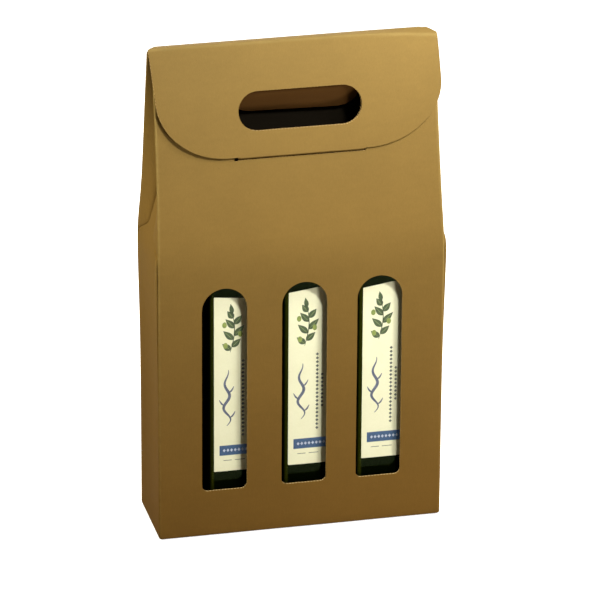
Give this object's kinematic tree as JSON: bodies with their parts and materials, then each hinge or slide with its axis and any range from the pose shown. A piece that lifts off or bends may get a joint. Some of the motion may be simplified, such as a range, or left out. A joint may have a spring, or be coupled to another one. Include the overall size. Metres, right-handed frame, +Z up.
{
  "type": "bottle carrier box",
  "caption": "Kraft card carrier box for square oil bottles, with tall arched windows, a leaning gable top and a closing flap with a carry hole.",
  "frame": {"origin": "middle of the base's underside", "axes": "+Z up, +X along the row of bottles, the front with the windows faces -Y"},
  "size_m": [0.24, 0.076, 0.4208],
  "materials": {
    "kraft_card": "matte",
    "dark_glass": "gloss",
    "oil": "gloss",
    "pourer_plastic": "matte",
    "cap_metal": "satin",
    "seal_film": "satin",
    "label_paper": "matte"
  },
  "bodies": {
    "carton": {"carton": "kraft_card", "divider": "kraft_card", "bottle_1": "dark_glass", "bottle_2": "dark_glass", "bottle_3": "dark_glass", "oil_1": "oil", "oil_2": "oil", "oil_3": "oil", "pourer_1": "pourer_plastic", "pourer_2": "pourer_plastic", "pourer_3": "pourer_plastic", "cap_1": "cap_metal", "cap_2": "cap_metal", "cap_3": "cap_metal", "neck_seal_1": "seal_film", "neck_seal_2": "seal_film", "neck_seal_3": "seal_film", "label_1": "label_paper", "label_2": "label_paper", "label_3": "label_paper"},
    "lid": {"lid_flap": "kraft_card"}
  },
  "joints": [
    {"name": "lid_hinge", "type": "hinge", "parent": "carton", "child": "lid", "pos_m": [0, 0.0041, 0.4193], "axis": [-1, 0, 0], "range_deg": [0, 165]}
  ]
}
